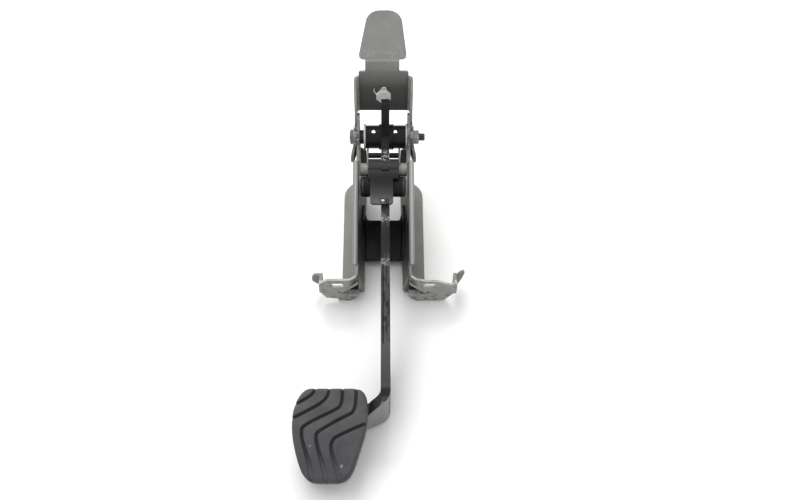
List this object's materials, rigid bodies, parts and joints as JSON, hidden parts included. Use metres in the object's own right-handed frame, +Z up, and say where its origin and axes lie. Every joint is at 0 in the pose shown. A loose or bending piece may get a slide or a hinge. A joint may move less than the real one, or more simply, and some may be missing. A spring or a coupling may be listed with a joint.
{
  "type": "brake pedal",
  "caption": "Hanging brake pedal in a pressed steel bracket: flat arm bent sideways to a wave-grooved rubber pad, pivot bolt, stop clip and sloping top tab.",
  "frame": {"origin": "middle of the bracket between the two cheeks, in the mounting face under the wings, 68 mm before the pivot bolt", "axes": "+X across the bracket to the right as seen with the pad nearest, +Y from the pad towards the top tab, +Z up out of the mounting face"},
  "size_m": [0.148, 0.4082, 0.1813],
  "materials": {
    "grey_paint": "satin grey coat, lightly marked",
    "black_paint": "semi-gloss black coat with wear along the top edge",
    "zinc_plate": "dull zinc plate",
    "nylon": "matt light grey nylon",
    "black_rubber": "matt black, worn smooth on the ribs"
  },
  "bodies": {
    "bracket": {"left_cheek": "grey_paint", "right_cheek": "grey_paint", "cross_web": "black_paint", "upper_bracket": "grey_paint", "stop_clip": "nylon", "pivot_bolt": "zinc_plate", "left_washer": "zinc_plate", "right_washer": "zinc_plate", "pivot_nut": "zinc_plate", "pivot_spacer": "zinc_plate"},
    "pedal": {"pivot_tube": "black_paint", "left_bush": "nylon", "right_bush": "nylon", "pedal_arm": "black_paint", "left_link": "zinc_plate", "right_link": "zinc_plate", "link_bar": "black_paint", "tongue_plate": "black_paint", "tongue_pin": "zinc_plate", "left_pin_bush": "nylon", "right_pin_bush": "nylon", "cross_tube": "black_paint", "left_cross_bush": "black_rubber", "right_cross_bush": "black_rubber", "pad_plate": "black_paint", "pad_rubber": "black_rubber"}
  },
  "joints": [
    {"name": "pedal_swing", "type": "hinge", "parent": "bracket", "child": "pedal", "pos_m": [0, 0.068, 0.083], "axis": [1, 0, 0], "range_deg": [0, 15], "stiffness_Nm_per_rad": 2, "springref_deg": -57.3}
  ]
}
